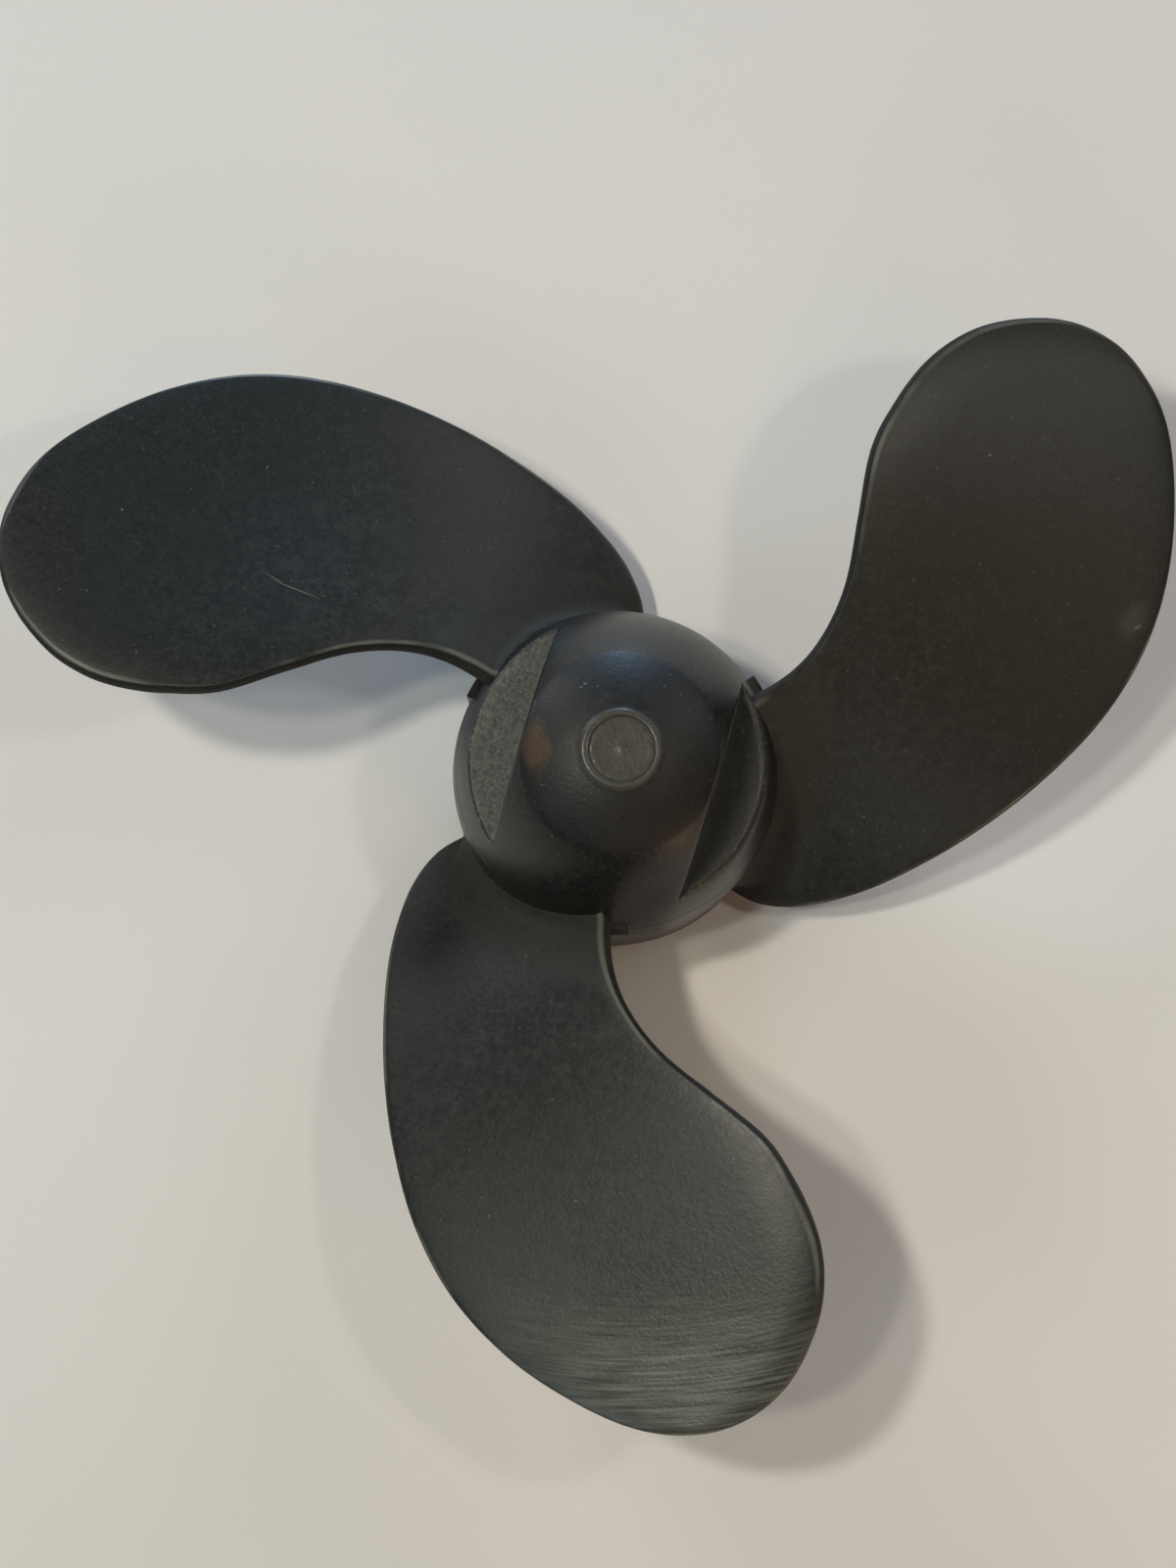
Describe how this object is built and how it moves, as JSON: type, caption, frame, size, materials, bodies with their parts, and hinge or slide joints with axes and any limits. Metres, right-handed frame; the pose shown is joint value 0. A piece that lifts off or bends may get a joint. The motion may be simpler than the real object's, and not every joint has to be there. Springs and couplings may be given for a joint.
{
  "type": "small outboard motor propeller",
  "caption": "Skewed-blade right-hand propeller for a small outboard motor, with a domed hub nose, two notches for a split pin, and a drive pin slot in its forward boss.",
  "frame": {"origin": "on the shaft axis, in the plane of the centre of mass, 27.0 mm above the hub's forward face", "axes": "+Z along the shaft axis towards the domed nose, which is the aft end; X along the split pin hole"},
  "size_m": [0.1626, 0.167, 0.05],
  "materials": {
    "hub": "satin moulded glass-filled nylon, grained",
    "blade": "satin moulded glass-filled nylon, scuffed"
  },
  "bodies": {
    "root": {"outer_hub": "hub", "nose_cap": "hub", "inner_hub": "hub", "rib_1": "hub", "rib_2": "hub", "rib_3": "hub", "rib_4": "hub", "rib_5": "hub", "rib_6": "hub", "blade_1": "blade", "blade_2": "blade", "blade_3": "blade"}
  },
  "joints": []
}
